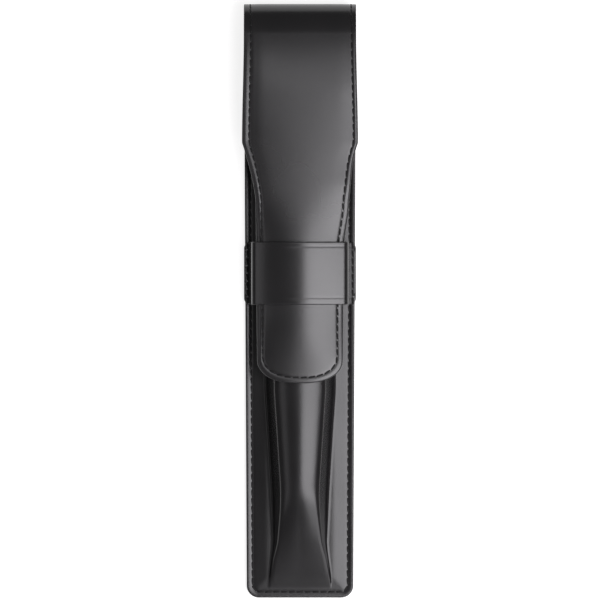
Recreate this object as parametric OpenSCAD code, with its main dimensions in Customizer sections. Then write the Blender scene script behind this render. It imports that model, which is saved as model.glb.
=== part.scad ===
// Single pen sleeve of black leather. It lies on its back: +Z is out of its front,
// +Y is towards the fold at the top, and +X is to the right of someone facing it.
// A flap comes over the top and its tongue is held under a band across the front.

/* [Sleeve] */
// Length from the top of the fold to the bottom edge
sleeve_l = 165; // [150:1:190]
// Width at the bottom edge
bottom_w = 29.6; // [27:0.2:34]
// Width across the fold at the top
fold_w = 31.2; // [29:0.2:35]
// Radius of the two bottom corners
corner_r = 3.4; // [1:0.1:5]

/* [Leather] */
// Thickness of the leather of the back and the flap
panel_t = 1.3; // [0.9:0.05:1.8]
// Thickness of the leather of the front
front_t = 1.2; // [0.8:0.05:1.5]
// Thickness of the lining
lining_t = 0.5; // [0.3:0.05:0.8]
// Running gap over and under the tongue
slide_gap = 0.3; // [0.2:0.05:0.6]

/* [Pocket] */
// Clear height inside the pocket, for the pen
pocket_h = 10.9; // [9:0.1:14]
// Width of the moulded ridge at its foot, from the mouth to the tongue's tip
ridge_w = 20.4; // [18:0.2:22]
// Width of the ridge's foot at its waist, part of the way down its end slope
waist_w = 15.2; // [14:0.2:18]
// Distance of the waist above the bottom edge
waist_h = 15.7; // [10:0.1:22]
// Width of the ridge's foot where its end slope runs out at the bottom
toe_w = 18; // [15.4:0.2:21]
// Length at the bottom over which the ridge sinks to the margin
sink_l = 24; // [18:0.5:28]
// Flat margin left below the ridge
toe_margin = 3.2; // [2.8:0.1:6]
// Distance of the mouth below the top of the fold
mouth_drop = 14.5; // [11:0.5:24]
// Radius between the ridge's crown and its walls
ridge_shoulder_r = 3; // [2.4:0.1:3.6]
// Radius between the ridge's walls and the margin
ridge_foot_r = 1; // [0.6:0.1:1.4]

/* [Flap] */
// Widest width of the flap
flap_w = 32.2; // [31:0.2:36]
// Drop of the flap's edges below its middle, where it is widest
arch_drop = 3; // [1.5:0.1:3.6]
// Distance from the top of the fold to where the flap starts to narrow
wide_drop = 38.6; // [32:0.2:44]
// Distance from the top of the fold to where the tongue starts
narrow_drop = 55.4; // [48:0.2:60]
// Width of the tongue where it starts
tongue_top_w = 24.6; // [22:0.2:25.4]
// Width of the tongue above its tip
tongue_w = 23.8; // [21:0.2:25]
// Distance from the top of the fold to the tongue's tip
flap_l = 105.4; // [100:0.2:112]
// Length of the tongue's rounded tip
tip_l = 6.4; // [4:0.1:9]

/* [Band] */
// Distance from the top of the fold to the band's upper edge
band_drop = 66.1; // [62:0.1:69]
// Width of the band
band_w = 17.4; // [12:0.2:22]
// How far the ends of the band stand out past the body's edges
band_proud = 0.3; // [0.1:0.05:0.8]
// Thickness of the band's leather
band_t = 0.7; // [0.5:0.05:1]
// Thickness of the band's lining
band_lining_t = 0.3; // [0.2:0.05:0.5]

/* [Stitching] */
// Length of a stitch from hole to hole
pitch = 2.2; // [1.8:0.1:3.2]
// Diameter of the thread
thread_d = 0.56; // [0.4:0.02:0.7]
// Distance of the seam round the body from the edge
seam_inset = 1.8; // [1.4:0.1:2.2]
// Distance of the flap's seam from its edge
flap_inset = 1.6; // [1.2:0.1:2]
// Distance of the seam from the ends of the band
band_inset = 0.9; // [0.7:0.05:1.1]

/* [Hidden] */

// Heights above the table, layer by layer
half_l = sleeve_l / 2;
floor_z = panel_t + lining_t;
margin_z = floor_z + lining_t + front_t;
crown_z = margin_z + pocket_h;
flap_z = crown_z + slide_gap + lining_t + panel_t;
band_total = band_t + band_lining_t;
band_z = flap_z + slide_gap + band_total;

// Places along the sleeve
fold_r = flap_z / 2;
fold_y = half_l - fold_r;
mouth_y = half_l - mouth_drop;
wide_y = half_l - wide_drop;
narrow_y = half_l - narrow_drop;
tip_y = half_l - flap_l;
tip_start_y = tip_y + tip_l;
band_top_y = half_l - band_drop;
band_low_y = band_top_y - band_w;
taper_y = tip_y - 2;
sink_end_y = -half_l + toe_margin;
waist_y = -half_l + waist_h;

// Bend lines of the flap: where it leaves the fold, its knee, and above the band
bend_gap = 0.1;
root_bend = 45;
band_clear = 1.6;
tongue_bend_y = band_top_y + band_clear;
knee_y = (fold_y + tongue_bend_y) / 2;

// Shape of the ridge's section, and the least share of their width that its walls shrink to
crown_edge = 14;
wall_lean = 76;
wall_keep = 0.2;
wall_rise = pocket_h - ridge_shoulder_r * (cos(crown_edge) - cos(wall_lean))
    - ridge_foot_r * (1 - cos(wall_lean));
wall_run = ridge_shoulder_r * (sin(wall_lean) - sin(crown_edge))
    + wall_rise / tan(wall_lean) + ridge_foot_r * sin(wall_lean);

// Shape of the band's section
band_corner_r = 0.6 + band_total;
band_foot_r = 0.5;

// Shape of the stitches
thread_r = thread_d / 2;
stitch_gap = 0.3;
stitch_bend_r = 2.6;
stitch_rise = -0.08;
arch_run = 22;
tip_power = 2.3;

leather_col = "#2b2a2d";
front_col = "#333236";
lining_col = "#1d1c1e";
band_col = "#38373a";
thread_col = "#161517";

function lerp(a, b, t) = a + (b - a) * t;
function ease(t) = t < 0 ? 0 : t > 1 ? 1 : t * t * (3 - 2 * t);
function unit(v) = v / norm(v);
function flip(rows) = [for (i = [len(rows) - 1:-1:0]) rows[i]];
function mirrored(half) = concat([for (p = flip(half)) if (p.x > 0) [-p.x, p.y]], half);

// Half the width of the back and the front at a place along the sleeve
function body_half(y) = lerp(bottom_w, fold_w, (y + half_l) / (fold_y + half_l)) / 2;
function corner_cut(y) =
    y < corner_r - half_l ? corner_r - sqrt(max(0, corner_r ^ 2 - (corner_r - half_l - y) ^ 2)) : 0;
function edge_half(y) = body_half(y) - corner_cut(y);
corner_ys = [for (a = [0:22.5:90]) -half_l + corner_r * (1 - cos(a))];

// Half the width of the flap, and how far its edges are arched down, at a place along it
function tongue_half(y) = lerp(tongue_w, tongue_top_w, (y - tip_start_y) / (narrow_y - tip_start_y)) / 2;
function tip_half(y) = tongue_w / 2 * (1 - ((tip_start_y - y) / tip_l) ^ 2) ^ (1 / tip_power);
function flap_half(y) =
    y > wide_y ? lerp(flap_w, fold_w, ease((y - wide_y) / (fold_y - wide_y))) / 2 :
    y > narrow_y ? lerp(tongue_top_w, flap_w, ((y - narrow_y) / (wide_y - narrow_y)) ^ 1.5) / 2 :
    y > tip_start_y ? tongue_half(y) : tip_half(y);
function arch(y) = arch_drop * ease((fold_y - y) / arch_run);
function flap_top(x, y) = flap_z - arch(y) * (x / (flap_w / 2)) ^ 2;

// Right half of the ridge's section as height over the margin, for a foot of half-width xb
function foot_half(y) =
    y > waist_y ? lerp(waist_w, ridge_w, min(1, (y - waist_y) / (taper_y - waist_y))) / 2 :
    lerp(toe_w, waist_w, ease((y - sink_end_y) / (waist_y - sink_end_y))) / 2;
function ridge_share(y) = ease((y - sink_end_y) / sink_l);
function crown_half(xb) = (xb - wall_run) / (1 - tan(crown_edge / 2) / tan(wall_lean));
function ridge_half(xb) =
    let (xc = crown_half(xb))
    let (crown_r = xc / sin(crown_edge))
    let (cx = xc - ridge_shoulder_r * sin(crown_edge))
    let (cz = pocket_h - crown_r * (1 - cos(crown_edge)) - ridge_shoulder_r * cos(crown_edge))
    concat(
        [for (k = [0:2]) let (a = crown_edge * k / 2) [crown_r * sin(a), pocket_h - crown_r * (1 - cos(a))]],
        [for (k = [1:4]) let (a = lerp(crown_edge, wall_lean, k / 4))
            [cx + ridge_shoulder_r * sin(a), cz + ridge_shoulder_r * cos(a)]],
        [for (k = [3:-1:0]) let (a = wall_lean * k / 3)
            [xb - ridge_foot_r * sin(a), ridge_foot_r * (1 - cos(a))]]
    );

// Section of the front. Down the end slope the walls shrink towards the foot and the crown spreads
function shrunk(p, xb, share) =
    let (xc = crown_half(xb))
    let (side = xb - max(wall_keep, share) * (xb - max(p.x, xc)))
    [p.x > xc ? side : side * p.x / xc, margin_z + share * p.y];
function front_section(y) =
    let (xb = foot_half(y))
    let (half = [for (p = ridge_half(xb)) shrunk(p, xb, ridge_share(y))])
    mirrored(concat(half, [[edge_half(y), margin_z]]));

// A section moved inwards by a depth, square to itself
function section_normal(s, i) =
    i == 0 || i == len(s) - 1 ? [0, 1] :
    let (t = s[i + 1] - s[i - 1]) unit([-t.y, t.x]);
function inset_section(s, depth) = [for (i = [0:len(s) - 1]) s[i] - depth * section_normal(s, i)];
function stand(s, y) = [for (p = s) [p.x, y, p.y]];

slope_rows = 10;
front_ys = concat(
    [for (y = corner_ys) if (y < sink_end_y - 0.1) y],
    [for (k = [0:slope_rows]) sink_end_y + sink_l * k / slope_rows],
    [taper_y, mouth_y]
);
function front_layer(depth) = [for (y = front_ys) stand(inset_section(front_section(y), depth), y)];

// Rows of points across the flap at a depth below its outer face
flap_cols = 5;
function flap_row(y, depth) =
    [for (k = [-flap_cols:flap_cols]) let (x = flap_half(y) * k / flap_cols) [x, y, flap_top(x, y) - depth]];
function flap_layer(ys, depth) = [for (y = ys) flap_row(y, depth)];
function steps(y0, y1, n) = [for (k = [0:n]) lerp(y0, y1, k / n)];
tip_ys = [for (a = [10, 25, 40, 55, 70, 90]) tip_start_y - tip_l * cos(a)];
tongue_ys = concat(tip_ys, [tongue_bend_y - bend_gap / 2]);
lower_ys = concat(
    [tongue_bend_y + bend_gap / 2, narrow_y],
    [for (t = [0.2:0.2:1]) lerp(narrow_y, wide_y, t)],
    [knee_y - bend_gap / 2]
);
upper_ys = steps(knee_y + bend_gap / 2, fold_y - bend_gap / 2, 6);

// Section of the band: over the tongue, down beside it, and flat on the margins
band_wall_x = flap_half(band_top_y) + slide_gap + band_total;
band_lean = atan(2 * arch_drop * band_wall_x / (flap_w / 2) ^ 2);
band_corner_x = band_wall_x - band_corner_r;
band_corner_z = band_z - arch_drop * ((band_corner_x + band_corner_r * sin(band_lean)) / (flap_w / 2)) ^ 2
    - band_corner_r * cos(band_lean);
band_foot_z = margin_z + band_total;
band_end_x = body_half(band_top_y - band_w / 2) + band_proud;
band_half = concat(
    [for (k = [0:4]) let (x = band_corner_x * k / 4) [x, band_z - arch_drop * (x / (flap_w / 2)) ^ 2]],
    [for (k = [0:4]) let (a = lerp(band_lean, 90, k / 4))
        [band_corner_x + band_corner_r * sin(a), band_corner_z + band_corner_r * cos(a)]],
    [for (k = [0:3]) let (a = 90 * (1 - k / 3))
        [band_wall_x + band_foot_r * (1 - sin(a)), band_foot_z + band_foot_r * (1 - cos(a))]],
    [[band_end_x, band_foot_z]]
);
band_section = mirrored(band_half);

// Lengths and places along a line of points
function path_len(p, i = 0) = i >= len(p) - 1 ? 0 : norm(p[i + 1] - p[i]) + path_len(p, i + 1);
function along(p, d, i = 0) =
    let (step = norm(p[i + 1] - p[i]))
    d <= step || i == len(p) - 2 ? p[i] + (p[i + 1] - p[i]) * d / step : along(p, d - step, i + 1);

// Lines that the seams follow
function seam_side_x(y) = body_half(y) - seam_inset;
seam_corner = 1.2;
bottom_seam_y = seam_inset - half_l;
seam_low_y = bottom_seam_y + pitch;
function side_line(y0, y1, z) = [for (y = [y0, y1]) [seam_side_x(y), y, z]];
band_seam_x = band_end_x - band_inset;
mouth_seam_y = mouth_y - seam_inset;
seam_end_y = mouth_y - 0.3;
fold_seam_x = fold_w / 2 - flap_inset;
function fold_point(r, a) = [fold_seam_x, fold_y + r * sin(a), fold_r - r * cos(a)];
function fold_line(r, a0, a1) = [for (k = [0:6]) fold_point(r, lerp(a0, a1, k / 6))];
function flap_seam_half(y) = flap_half(y) - flap_inset;
function flap_line(ys, depth) = [for (y = ys) let (x = flap_seam_half(y)) [x, y, flap_top(x, y) - depth]];
tip_seam_low = tip_y + flap_inset;
tongue_seam_half = tongue_w / 2 - flap_inset;
tip_seam_l = tip_l - flap_inset / 2;
function tip_seam(depth) = [for (a = [0:15:90])
    let (x = tongue_seam_half * sin(a) ^ (2 / tip_power))
    let (y = tip_seam_low + tip_seam_l * (1 - cos(a)))
    [x, y, flap_top(x, y) - depth]];
function tongue_seam(depth) =
    let (right = concat(tip_seam(depth), flap_line([tongue_bend_y - bend_gap / 2], depth)))
    concat([for (p = flip(right)) if (p.x > 0) [-p.x, p.y, p.z]], right);

// A closed wall between two sheets of points with equal rows
module wall(top, low) {
    rows = len(top);
    cols = len(top[0]);
    under = rows * cols;
    function id(i, j) = i * cols + j;
    points = concat([for (r = top) each r], [for (r = low) each r]);
    faces = concat(
        [for (i = [0:rows - 2], j = [0:cols - 2]) each [
            [id(i, j), id(i + 1, j + 1), id(i, j + 1)],
            [id(i, j), id(i + 1, j), id(i + 1, j + 1)],
            [under + id(i, j), under + id(i, j + 1), under + id(i + 1, j + 1)],
            [under + id(i, j), under + id(i + 1, j + 1), under + id(i + 1, j)]
        ]],
        [for (i = [0:rows - 2]) each [
            [id(i, 0), under + id(i, 0), under + id(i + 1, 0)],
            [id(i, 0), under + id(i + 1, 0), id(i + 1, 0)],
            [id(i, cols - 1), under + id(i + 1, cols - 1), under + id(i, cols - 1)],
            [id(i, cols - 1), id(i + 1, cols - 1), under + id(i + 1, cols - 1)]
        ]],
        [for (j = [0:cols - 2]) each [
            [id(0, j), id(0, j + 1), under + id(0, j + 1)],
            [id(0, j), under + id(0, j + 1), under + id(0, j)],
            [id(rows - 1, j), under + id(rows - 1, j + 1), id(rows - 1, j + 1)],
            [id(rows - 1, j), under + id(rows - 1, j), under + id(rows - 1, j + 1)]
        ]]
    );
    polyhedron(points, faces);
}

// Part of the round fold, from one angle to another, between two radii
module fold_arc(outer, inner, a0, a1) {
    translate([0, fold_y, fold_r])
        rotate([a0 - 90, 0, 0])
        rotate([90, 0, 90])
        rotate_extrude(angle = a1 - a0, $fn = 96)
        translate([inner, -fold_w / 2])
        square([outer - inner, fold_w]);
}

// Flat sheet of the back, up to where the fold starts
module back_sheet(z, t) {
    outline = [for (y = concat(corner_ys, [fold_y])) [edge_half(y), y]];
    translate([0, 0, z])
        linear_extrude(t)
        polygon(concat(outline, [for (p = flip(outline)) [-p.x, p.y]]));
}

// One stitch, arched over the surface between two needle holes
module stitch(a, b, out) {
    v = b - a;
    heading = atan2(v.y, v.x);
    tilt = atan2(v.z, norm([v.x, v.y]));
    up = [-sin(tilt) * cos(heading), -sin(tilt) * sin(heading), cos(tilt)];
    roll = up * out >= 0 ? 0 : 180;
    half_turn = asin(norm(v) / 2 / stitch_bend_r);
    translate((a + b) / 2)
        rotate([0, 0, heading])
        rotate([0, -tilt, 0])
        rotate([roll, 0, 0])
        translate([0, 0, stitch_rise - stitch_bend_r])
        rotate([90, 0, 0])
        rotate([0, 0, 90 - half_turn])
        rotate_extrude(angle = 2 * half_turn, $fn = 64)
        translate([stitch_bend_r, 0])
        circle(thread_r, $fn = 16);
}

// A row of stitches of equal length along a line
module stitches(line, out) {
    whole = path_len(line);
    count = max(1, round(whole / pitch));
    step = whole / count;
    for (i = [0:count - 1])
        stitch(along(line, i * step + stitch_gap / 2), along(line, (i + 1) * step - stitch_gap / 2), out);
}

module back_panel() {
    color(leather_col) union() {
        back_sheet(0, panel_t);
        fold_arc(fold_r, fold_r - panel_t, 0, root_bend - bend_gap);
    }
}

module back_lining() {
    color(lining_col) union() {
        back_sheet(panel_t, lining_t);
        fold_arc(fold_r - panel_t, fold_r - panel_t - lining_t, 0, root_bend - bend_gap);
    }
}

module front_panel() {
    color(front_col) wall(front_layer(0), front_layer(front_t));
}

module front_lining() {
    color(lining_col) wall(front_layer(front_t), front_layer(front_t + lining_t));
}

// A layer of the band between two depths below its outer face
module band_layer(depth, t) {
    outer = inset_section(band_section, depth);
    inner = inset_section(band_section, depth + t);
    translate([0, band_top_y, 0])
        rotate([90, 0, 0])
        linear_extrude(band_w)
        polygon(concat(outer, flip(inner)));
}

module band() {
    color(band_col) band_layer(0, band_t);
}

module band_lining() {
    color(lining_col) band_layer(band_t, band_lining_t);
}

// Right-hand seam: front rows below, on and above the band, the row on the back,
// and both rows between the mouth and the fold
module seam_thread() {
    color(thread_col) {
        stitches(side_line(seam_low_y, band_low_y, margin_z), [0, 0, 1]);
        stitches([for (y = [band_low_y, band_top_y]) [band_seam_x, y, band_foot_z]], [0, 0, 1]);
        stitches(side_line(band_top_y, seam_end_y, margin_z), [0, 0, 1]);
        stitches(side_line(seam_low_y, fold_y, thread_r + stitch_rise), [0, 0, -1]);
        stitches(side_line(mouth_y + 0.3, fold_y, floor_z), [0, 0, 1]);
        stitches(fold_line(fold_r - thread_r, 1, root_bend - 1), [0, 0, -1]);
        stitches(fold_line(fold_r - floor_z, 1, root_bend - 1), [0, 0, 1]);
    }
}

module seam_thread_bottom() {
    corner = seam_side_x(seam_low_y);
    turn = corner - seam_corner;
    line = [[-corner, seam_low_y], [-turn, bottom_seam_y], [turn, bottom_seam_y], [corner, seam_low_y]];
    color(thread_col) {
        stitches([for (p = line) [p.x, p.y, margin_z]], [0, 0, 1]);
        stitches([for (p = line) [p.x, p.y, thread_r + stitch_rise]], [0, 0, -1]);
    }
}

// Row that holds the lining to the front along the mouth, over the ridge
module mouth_thread() {
    half = [for (p = front_section(mouth_seam_y)) if (abs(p.x) < seam_side_x(mouth_y) - 1) p];
    color(thread_col) stitches(stand(half, mouth_seam_y), [0, 0, 1]);
}

// Stitches along both edges of a piece of the flap, on its outer face and on its lining
module both_edges(outer, inner, out) {
    color(thread_col)
        for (side = [0, 1])
        mirror([side, 0, 0]) {
            stitches(outer, out);
            stitches(inner, -out);
        }
}

module flap_fold() {
    color(leather_col)
        fold_arc(fold_r, fold_r - panel_t, root_bend + bend_gap, 180 - root_bend - bend_gap);
}

module flap_fold_lining() {
    color(lining_col)
        fold_arc(fold_r - panel_t, fold_r - panel_t - lining_t, root_bend + bend_gap, 180 - root_bend - bend_gap);
}

module flap_fold_thread() {
    a0 = root_bend + 1;
    both_edges(
        fold_line(fold_r - thread_r, a0, 180 - a0),
        fold_line(fold_r - panel_t - lining_t, a0, 180 - a0),
        [0, 1, 0]
    );
}

module flap_shoulder() {
    color(leather_col) fold_arc(fold_r, fold_r - panel_t, 180 - root_bend + bend_gap, 180);
}

module flap_shoulder_lining() {
    color(lining_col)
        fold_arc(fold_r - panel_t, fold_r - panel_t - lining_t, 180 - root_bend + bend_gap, 180);
}

module flap_shoulder_thread() {
    a0 = 181 - root_bend;
    both_edges(
        fold_line(fold_r, a0, 180),
        fold_line(fold_r - panel_t - lining_t, a0, 180),
        [0, 1, 1]
    );
}

module flap_upper() {
    color(leather_col) wall(flap_layer(upper_ys, 0), flap_layer(upper_ys, panel_t));
}

module flap_upper_lining() {
    color(lining_col) wall(flap_layer(upper_ys, panel_t), flap_layer(upper_ys, panel_t + lining_t));
}

module flap_upper_thread() {
    both_edges(flap_line(upper_ys, 0), flap_line(upper_ys, panel_t + lining_t), [0, 0, 1]);
}

module flap_lower() {
    color(leather_col) wall(flap_layer(lower_ys, 0), flap_layer(lower_ys, panel_t));
}

module flap_lower_lining() {
    color(lining_col) wall(flap_layer(lower_ys, panel_t), flap_layer(lower_ys, panel_t + lining_t));
}

module flap_lower_thread() {
    both_edges(flap_line(lower_ys, 0), flap_line(lower_ys, panel_t + lining_t), [0, 0, 1]);
}

module flap_tongue() {
    color(leather_col) wall(flap_layer(tongue_ys, 0), flap_layer(tongue_ys, panel_t));
}

module flap_tongue_lining() {
    color(lining_col) wall(flap_layer(tongue_ys, panel_t), flap_layer(tongue_ys, panel_t + lining_t));
}

module flap_tongue_thread() {
    color(thread_col) {
        stitches(tongue_seam(0), [0, 0, 1]);
        stitches(tongue_seam(panel_t + lining_t), [0, 0, -1]);
    }
}

back_panel();
back_lining();
front_panel();
front_lining();
band();
band_lining();
mirror([1, 0, 0]) seam_thread();  // seam_thread_left
seam_thread();  // seam_thread_right
seam_thread_bottom();
mouth_thread();
flap_fold();
flap_fold_lining();
flap_fold_thread();
flap_shoulder();
flap_shoulder_lining();
flap_shoulder_thread();
flap_upper();
flap_upper_lining();
flap_upper_thread();
flap_lower();
flap_lower_lining();
flap_lower_thread();
flap_tongue();
flap_tongue_lining();
flap_tongue_thread();
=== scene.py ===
import math
from collections import namedtuple

import bmesh
import bpy
from mathutils import Matrix, Vector


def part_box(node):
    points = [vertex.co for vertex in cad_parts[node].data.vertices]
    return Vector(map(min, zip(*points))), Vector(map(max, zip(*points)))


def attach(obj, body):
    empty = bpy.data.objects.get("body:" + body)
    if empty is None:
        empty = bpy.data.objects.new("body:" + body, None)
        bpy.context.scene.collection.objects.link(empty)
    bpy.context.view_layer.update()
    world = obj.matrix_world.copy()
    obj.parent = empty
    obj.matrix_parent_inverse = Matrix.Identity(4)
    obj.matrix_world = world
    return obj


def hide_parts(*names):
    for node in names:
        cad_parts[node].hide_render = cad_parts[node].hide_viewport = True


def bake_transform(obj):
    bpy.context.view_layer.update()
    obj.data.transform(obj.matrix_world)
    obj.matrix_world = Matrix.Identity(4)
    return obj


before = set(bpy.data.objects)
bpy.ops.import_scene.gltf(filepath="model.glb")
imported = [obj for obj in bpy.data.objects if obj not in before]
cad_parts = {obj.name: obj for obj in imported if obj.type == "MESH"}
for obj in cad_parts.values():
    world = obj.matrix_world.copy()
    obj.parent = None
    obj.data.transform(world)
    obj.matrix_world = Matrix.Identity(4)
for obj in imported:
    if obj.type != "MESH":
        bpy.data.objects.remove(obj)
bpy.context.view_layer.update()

bl_info = {
    "name": "Single pen sleeve",
    "version": (1, 0, 0),
    "blender": (4, 5, 0),
    "location": "View3D > Sidebar > Sleeve",
    "description": "Leather, lining, thread and stage of a slim pen sleeve with a tucked flap",
    "category": "Object",
}

MM = 0.001

# Places and heights that the frame gives, and the gap that it leaves between the flap's solids
HALF_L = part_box("flap_fold")[1].y
FOLD_W = 2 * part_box("flap_fold")[1].x
FLAP_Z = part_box("flap_upper")[1].z
FLAP_W = 2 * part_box("flap_lower")[1].x
FOLD_R = FLAP_Z / 2
FOLD_Y = HALF_L - FOLD_R
ARC_L = math.pi * FOLD_R
PANEL_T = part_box("back_lining")[0].z
FLOOR_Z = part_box("front_lining")[0].z
LINING_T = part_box("front_panel")[0].z - FLOOR_Z
MARGIN_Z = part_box("band_lining")[0].z
FRONT_T = MARGIN_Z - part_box("front_panel")[0].z
POCKET_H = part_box("front_panel")[1].z - MARGIN_Z
MOUTH_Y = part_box("front_panel")[1].y
TIP_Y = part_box("flap_tongue")[0].y
BEND_GAP = 0.1 * MM
KNEE_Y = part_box("flap_lower")[1].y + BEND_GAP / 2
NECK_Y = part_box("flap_tongue")[1].y + BEND_GAP / 2
UPPER_MID_Y = (FOLD_Y + KNEE_Y) / 2
LOWER_MID_Y = (KNEE_Y + NECK_Y) / 2
BAND_LOW_Y, BAND_TOP_Y = (corner.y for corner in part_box("band"))
BAND_MID_Y = (BAND_LOW_Y + BAND_TOP_Y) / 2
BAND_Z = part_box("band")[1].z
BAND_T = BAND_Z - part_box("band_lining")[1].z
BAND_LINING_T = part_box("band")[0].z - MARGIN_Z
BAND_END_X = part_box("band")[1].x

# Radii of the thin sheets' edges
LINING_EDGE_R = LINING_T / 5
BAND_EDGE_R = BAND_T / 3
BAND_LINING_EDGE_R = BAND_LINING_T / 5

# Distances from the edge at which the sheets have columns, close together round the seams
FLAP_RIM = [d * MM for d in (0, 0.45, 0.75, 1.0, 1.2, 1.4, 1.6, 1.8, 2.0, 2.3, 2.7, 3.2, 3.9, 4.6)]
BODY_RIM = [d * MM for d in (0, 0.45, 0.8, 1.1, 1.4, 1.6, 1.8, 2.0, 2.2, 2.5, 2.9, 3.4)]
BAND_RIM = [d * MM for d in (0, 0.3, 0.6, 0.9, 1.1, 1.3, 1.5, 1.7, 1.9, 2.1, 2.3, 2.6, 3.0, 3.6)]

# Columns between the rims, and round the curves of the sections
FLAP_CELLS = 10
BACK_CELLS = 8
MARGIN_CELLS = 6
CROWN_CELLS = 8
SHOULDER_CELLS = 4
WALL_CELLS = 5
FOOT_CELLS = 4
TIP_CELLS = 24
BAND_TOP_CELLS = 12
BAND_CORNER_CELLS = 7
BAND_END_CELLS = 4

# Steps between the rows of the sheets
BACK_STEP = 4 * MM
SLOPE_STEP = 0.6 * MM
TAPER_STEP = 1.5 * MM
RIDGE_STEP = 2.5 * MM
BAND_STEP = 1.5 * MM
FLAT_STEP = 0.9 * MM
ARC_STEP = FOLD_R * math.radians(1.2)

# The ridge: the turns of its section, the share of its walls that is left at the toe, the profile of
# its end slope, where it has its whole width, and the height over which its inside leaves the margin
CROWN_EDGE = math.radians(20)
SHOULDER_TURN = math.radians(46)
WALL_LEAN = math.radians(76)
TIGHT_R = 0.6 * MM
WALL_KEEP = 0.2
SLOPE_FOOT = 0.12
SLOPE_TOP = 0.55
MIDDLE_LAG = 0.2
FULL_RIDGE_UNDER_TIP = 2 * MM
INWARD_RISE = 0.5 * MM

# The margin: the distance from the edge at which it starts to fall, and how much of a rim's roll it has
MARGIN_FALL_EDGE = 5.5 * MM
MARGIN_ROLL = 0.15

# Where the flap's right edge lies outside the mirror image of its left one
LATE_TOP_Y = 42 * MM
LATE_LOW_Y = 14.2 * MM
LATE_RUN = 12.5 * MM

# Where the front of the fold and the flap below it have sunk with wear
DIP_START_Y = 57 * MM
DIP_END_Y = FOLD_Y + 4 * MM
DIP_PEAK = (FOLD_Y - DIP_START_Y) / (DIP_END_Y - DIP_START_Y)
FLAP_DIP_Y = 14 * MM
FLAP_DIP_RUN = 46 * MM

# The flap: how it narrows and where it takes the rest of its arch
NECK_POWER = 1.5
TIP_POWER = 2.6
LATE_ARCH_DROP = 10 * MM
LATE_ARCH_RUN = 20 * MM

# Widths of a rim's roll and of the swell inside a seam, the length below the fold over which the rim
# takes its turn, and the share of roll and swell that is left on the tongue
ROLL_W = 1.1 * MM
SWELL_W = 3.5 * MM
RIM_START_RUN = 6 * MM
TONGUE_SHARE = 0.3

# The band: its bends, its drawn-in ends and its two creases
BAND_FOOT_R = 0.5 * MM
BAND_CORNER_OVER = 0.6 * MM
BAND_END_CUT = 1.5 * MM
BAND_EASE_H = 3 * MM
UPPER_CREASE = 1.3 * MM
LOWER_CREASE = 1.9 * MM
CREASE_W = 0.24 * MM
CREASE_SLUMP = 0.5

# How far the flap's leather bends round the shoulder, and to each side of the knee
SHOULDER_BEND_L = 12.2 * MM
KNEE_BEND_L = 10 * MM

# Thread: how far a stitch bends over, the gap to the next one, how deep it sits and how it slants, its
# faces round and along, the steps of the seams' lines, where they end, the distance over which a
# seam's direction is measured, and the error allowed in a length
STITCH_BEND_R = 2.6 * MM
STITCH_GAP = 0.5 * MM
STITCH_SINK = 0.08 * MM
STITCH_SLANT = math.radians(6)
STITCH_SIDES = 8
STITCH_CELLS = 6
SEAM_STEP = 0.4 * MM
SIDE_SEAM_STEP = 2 * MM
TIP_SEAM_CELLS = 40
CORNER_SEAM_CELLS = 8
SIDE_SEAM_END = 0.3 * MM
MOUTH_SEAM_END = 1 * MM
PROBE = 0.02 * MM
ROUNDING = 1e-9

# Patterns of the finishes: folds between the calf's fibres and its clouding, waves of the edge paint,
# bristle holes and nap of the pigskin, flecks of the paper, and the thread's plies and the length of
# their turn in diameters
FIBRE_W = 1.1 * MM
CLOUD_W = 22 * MM
PAINT_WAVE_W = 1.6 * MM
BRISTLE_GAP = 0.9 * MM
NAP_W = 0.25 * MM
FLECK_W = 0.8 * MM
PLIES = 3.0
PLY_TURN = 1.9

# Stage: the photograph's frame in pixels, the camera's sensor in millimetres, and in metres the
# camera's height, the floor and the lamps over the table
PHOTO_PIXELS = 600
TOP_PIXEL = 4
BOTTOM_PIXEL = 598
CAMERA_H = 4.0
SENSOR_W = 36.0
FLOOR_SIZE = 6.0
FLOOR_SHADE = 0.5
FLOOR_GLOW = 0.8
WORLD_LEVEL = 0.18
LAMP_H = 0.5
LAMP_COLOUR = "#fcfafe"
# Name, from where to where across and along, and brightness
LAMPS = (
    ("softbox", (0.03, 0.36), (-0.2, 0.042), 8.3),
    ("top_light", (-0.05, 0.36), (0.055, 0.15), 2.6),
    ("front_light", (0.05, 0.45), (-1.05, -0.2), 4.0),
    ("fill", (-0.38, -0.26), (-0.3, 0.2), 1.1),
)


def linear(hex_colour):
    """An sRGB hex colour as linear values."""
    levels = [int(hex_colour[k:k + 2], 16) / 255 for k in (1, 3, 5)]
    return [v / 12.92 if v <= 0.04045 else ((v + 0.055) / 1.055) ** 2.4 for v in levels]


def lerp(a, b, t):
    """The value at share t of the way from a to b."""
    return a + (b - a) * t


def clamp(t):
    """A value kept between 0 and 1."""
    return min(1.0, max(0.0, t))


def ease(t):
    """0 to 1, level at both ends."""
    t = clamp(t)
    return t * t * (3 - 2 * t)


def swing(t, peak):
    """0 to 1, steepest where t reaches the peak."""
    t = clamp(t)
    return t * t / peak if t < peak else 1 - (1 - t) ** 2 / (1 - peak)


def slide(t):
    """0 to 1 down a straight slope with a short bend at its foot and a longer one at its top."""
    t = clamp(t)
    whole = 1 - SLOPE_FOOT / 2 - SLOPE_TOP / 2
    if t < SLOPE_FOOT:
        return t * t / (2 * SLOPE_FOOT) / whole
    if t < 1 - SLOPE_TOP:
        return (t - SLOPE_FOOT / 2) / whole
    return 1 - (1 - t) ** 2 / (2 * SLOPE_TOP) / whole


def divided(first, last, cells):
    """Places that divide the way from first to last into equal cells."""
    return [lerp(first, last, k / cells) for k in range(cells + 1)]


def spread(first, last, step):
    """Even places from first to last, about a step apart."""
    return divided(first, last, max(1, round(abs(last - first) / step)))


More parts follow.
